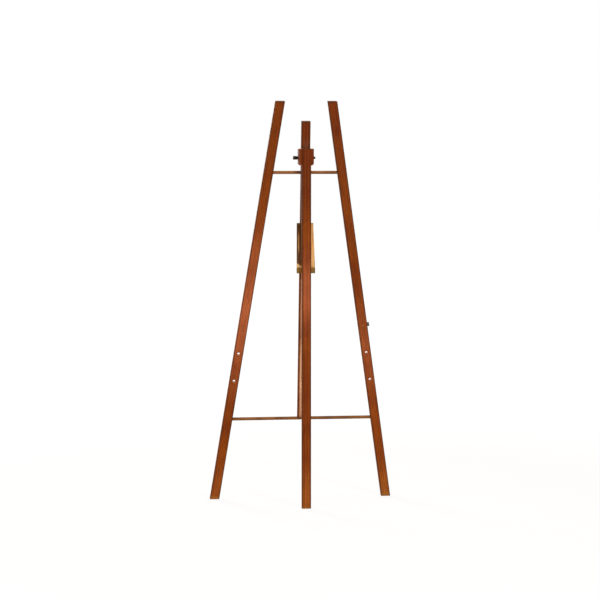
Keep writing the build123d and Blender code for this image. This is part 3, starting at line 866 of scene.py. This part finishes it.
makeLockScrew()
makePeg("left")
makePeg("right")
print("pegs and lock screw made")

# countersunk screws with a cross recess
crossScrew = {"steps": 32, "crossLength": 0.62, "crossWidth": 0.17, "crossDepth": 0.42, "taper": 0.7,
              "rim": 0.12, "shankShare": 0.5, "endRoom": 0.02, "cadMerge": 0.001, "cutRoom": 0.0001}


def islandsOf(node):
    # vertices of each separate solid in a node
    bm = bmesh.new()
    bm.from_mesh(nodes[node].data)
    bmesh.ops.remove_doubles(bm, verts=bm.verts, dist=crossScrew["cadMerge"] * mm)
    seen = set()
    islands = []
    for first in bm.verts:
        if first in seen:
            continue
        seen.add(first)
        grow = [first]
        island = []
        while grow:
            vertex = grow.pop()
            island.append(vertex.co.copy())
            for edge in vertex.link_edges:
                other = edge.other_vert(vertex)
                if other not in seen:
                    seen.add(other)
                    grow.append(other)
        islands.append(island)
    bm.free()
    return islands


def cutCross(bm, topFace, radius):
    halfLength = crossScrew["crossLength"] * radius * mm
    halfWidth = crossScrew["crossWidth"] * radius * mm
    geom = [topFace, *topFace.edges, *topFace.verts]
    for axis in (0, 1):
        normal = Vector((0, 0, 0))
        normal[axis] = 1
        for offset in (-halfLength, -halfWidth, halfWidth, halfLength):
            cut = bmesh.ops.bisect_plane(
                bm, geom=geom, dist=crossScrew["cutRoom"] * mm, plane_co=normal * offset, plane_no=normal,
            )
            geom = cut["geom"]
    arms = []
    for face in (part for part in geom if isinstance(part, bmesh.types.BMFace)):
        centre = face.calc_center_median()
        small, large = sorted((abs(centre.x), abs(centre.y)))
        if small < halfWidth and large < halfLength:
            arms.append(face)
    pressed = bmesh.ops.extrude_face_region(bm, geom=arms)
    sunk = [part for part in pressed["geom"] if isinstance(part, bmesh.types.BMVert)]
    bmesh.ops.delete(bm, geom=[face for face in arms if face.is_valid], context="FACES_ONLY")
    bmesh.ops.scale(bm, vec=(crossScrew["taper"], crossScrew["taper"], 1), verts=sunk)
    bmesh.ops.translate(bm, vec=(0, 0, -crossScrew["crossDepth"] * radius * mm), verts=sunk)


def makeScrews(node, name, direction, material):
    joined = bmesh.new()
    for island in islandsOf(node):
        reach = [point.dot(direction) for point in island]
        middle = sum(island, Vector()) / len(island)
        ends = {}
        for end in (min(reach), max(reach)):
            disc = [point for point in island if abs(point.dot(direction) - end) < crossScrew["endRoom"] * mm]
            centre = sum(disc, Vector()) / len(disc)
            ends[end] = (max((point - centre).length for point in disc), centre)
        head = max(ends, key=lambda end: ends[end][0])
        headRadius, centre = ends[head]
        outward = direction if head > middle.dot(direction) else -direction
        length = (max(reach) - min(reach)) / mm
        radius = headRadius / mm
        shank = crossScrew["shankShare"] * radius
        rim = crossScrew["rim"]
        profile = [(0, -length), (shank, 2 * shank - length), (shank, shank - radius)]
        profile += [(radius, -rim), (radius - rim, 0)]
        bm = bmesh.new()
        spinProfile(bm, profile, crossScrew["steps"])
        openEdges = [edge for edge in bm.edges if edge.is_boundary]
        topFace = bmesh.ops.contextual_create(bm, geom=openEdges)["faces"][0]
        cutCross(bm, topFace, radius)
        bmesh.ops.transform(bm, matrix=placeAlong(centre, outward), verts=bm.verts)
        part = bpy.data.meshes.new(name)
        bm.to_mesh(part)
        bm.free()
        joined.from_mesh(part)
        bpy.data.meshes.remove(part)
    finishMesh(joined, name, Matrix.Identity(4), material, node)


makeScrews("cheek_screws", "cheekScrews", acrossX, slotMetals["grey_steel"])
makeScrews("mast_leaf_screws", "mastLeafScrews", frontOfFrame, slotMetals["brass"])
makeScrews("board_leaf_screws", "boardLeafScrews", boardFace, slotMetals["brass"])
makeScrews("mast_foot_screw", "mastFootScrew", upFrame, slotMetals["grey_steel"])
print("screws made")

# camera: fitted to the photograph's frame of 600 by 600
view = {"place": (-0.6944, -6.6518, 1.334), "pitch": -4.861, "yaw": -5.952, "lens": 108.0, "sensor": 36.0,
        "shiftX": -0.005, "farthest": 60.0}
camera = bpy.data.objects.new("camera", bpy.data.cameras.new("camera"))
camera.data.lens = view["lens"]
camera.data.sensor_width = view["sensor"]
camera.data.shift_x = view["shiftX"]
camera.data.clip_end = view["farthest"]
camera.location = view["place"]
camera.rotation_euler = Euler((math.radians(90 + view["pitch"]), 0, math.radians(view["yaw"])))
bpy.context.scene.collection.objects.link(camera)
bpy.context.scene.camera = camera

# pale studio: warm key high on the camera's right, soft fill from the left, one lamp overhead, one behind the
# easel for its far side, and two low strip softboxes that draw the varnish's sheen
studio = {
    "lamps": {
        "key": {"place": (2.1, -4.2, 2.3), "size": (0.6, 0.6), "power": 126.0, "colour": "#fff0dc"},
        "fill": {"place": (-2.7, -1.3, 0.9), "size": (0.9, 0.9), "power": 38.0, "colour": "#ffe6cc"},
        "overhead": {"place": (0.0, 0.1, 3.3), "size": (1.4, 1.4), "power": 60.0, "colour": "#fff6ea"},
        "back": {"place": (-2.2, 3.6, 2.4), "size": (1.2, 1.2), "power": 135.0, "colour": "#fff4e6"},
        "barSheen": {"place": (0.42, -1.9, 0.69), "size": (0.5, 0.3), "power": 5.0, "colour": "#ffdfbd"},
        "legSheen": {"place": (-0.2, -1.95, 0.05), "size": (0.7, 0.15), "power": 6.0, "colour": "#ffdfbd"},
    },
    "aim": (0.0, 0.0, 0.75),
    "worldStrength": 0.10,
    "floorColour": "#cfccc6",
    "floorWhite": 0.85,
    "floorGlow": 1.06,
    "floorSize": 40.0,
    "floorDropMm": 0.3,  # just below the feet
    "fadeStart": 1.2,
    "fadeEnd": 3.0,
}
for name, lampSettings in studio["lamps"].items():
    lamp = bpy.data.lights.new(name, "AREA")
    lamp.shape = "RECTANGLE"
    lamp.size, lamp.size_y = lampSettings["size"]
    lamp.energy = lampSettings["power"]
    lamp.color = linearFromHex(lampSettings["colour"])[:3]
    holder = bpy.data.objects.new(name, lamp)
    holder.location = lampSettings["place"]
    holder.rotation_euler = (Vector(studio["aim"]) - holder.location).to_track_quat("-Z", "Y").to_euler()
    holder.visible_camera = False
    bpy.context.scene.collection.objects.link(holder)


def whiteForRays(tree):
    # 1 for the rays that show the surroundings: straight, mirrored and through glass
    path = addNode(tree, "ShaderNodeLightPath")
    mirrored = addNode(
        tree, "ShaderNodeMath", {"operation": "MAXIMUM"},
        {0: path.outputs["Is Camera Ray"], 1: path.outputs["Is Glossy Ray"]},
    )
    return addNode(
        tree, "ShaderNodeMath", {"operation": "MAXIMUM"},
        {0: mirrored.outputs[0], 1: path.outputs["Is Transmission Ray"]},
    )


world = bpy.data.worlds.new("studio")
world.use_nodes = True
worldTree = world.node_tree
worldTree.nodes.clear()
seen = whiteForRays(worldTree)
strength = addNode(
    worldTree, "ShaderNodeMapRange", {"To Min": studio["worldStrength"], "To Max": 1.0},
    {"Value": seen.outputs[0]},
)
sky = addNode(worldTree, "ShaderNodeBackground", {"Color": (1, 1, 1, 1)}, {"Strength": strength.outputs[0]})
addNode(worldTree, "ShaderNodeOutputWorld", links={"Surface": sky.outputs[0]})
bpy.context.scene.world = world

floorMesh = bmesh.new()
bmesh.ops.create_grid(floorMesh, x_segments=1, y_segments=1, size=studio["floorSize"] / 2)
bmesh.ops.translate(floorMesh, vec=(0, 0, -studio["floorDropMm"] * mm), verts=floorMesh.verts)
floorData = bpy.data.meshes.new("floor")
floorMesh.to_mesh(floorData)
floorMesh.free()
floor = bpy.data.objects.new("floor", floorData)
bpy.context.scene.collection.objects.link(floor)
floorMaterial, floorTree = newMaterial("paleFloor")
floorSeen = whiteForRays(floorTree)
floorCoords = addNode(floorTree, "ShaderNodeTexCoord")
floorDistance = addNode(
    floorTree, "ShaderNodeVectorMath", {"operation": "LENGTH"}, {0: floorCoords.outputs["Object"]},
)
floorFade = addNode(
    floorTree, "ShaderNodeMapRange",
    {"From Min": studio["fadeStart"], "From Max": studio["fadeEnd"],
     "To Min": studio["floorWhite"], "To Max": 1.0},
    {"Value": floorDistance.outputs["Value"]},
)
floorShare = addNode(
    floorTree, "ShaderNodeMath", {"operation": "MULTIPLY"},
    {0: floorSeen.outputs[0], 1: floorFade.outputs[0]},
)
floorBase = addNode(floorTree, "ShaderNodeBsdfDiffuse", {"Color": linearFromHex(studio["floorColour"])})
floorGlow = addNode(floorTree, "ShaderNodeEmission", {"Color": (1, 1, 1, 1), "Strength": studio["floorGlow"]})
floorMix = addNode(
    floorTree, "ShaderNodeMixShader",
    links={0: floorShare.outputs[0], 1: floorBase.outputs[0], 2: floorGlow.outputs[0]},
)
addNode(floorTree, "ShaderNodeOutputMaterial", links={"Surface": floorMix.outputs[0]})
dress(floor, floorMaterial)
bpy.context.scene.view_settings.view_transform = "Standard"
print("studio set")
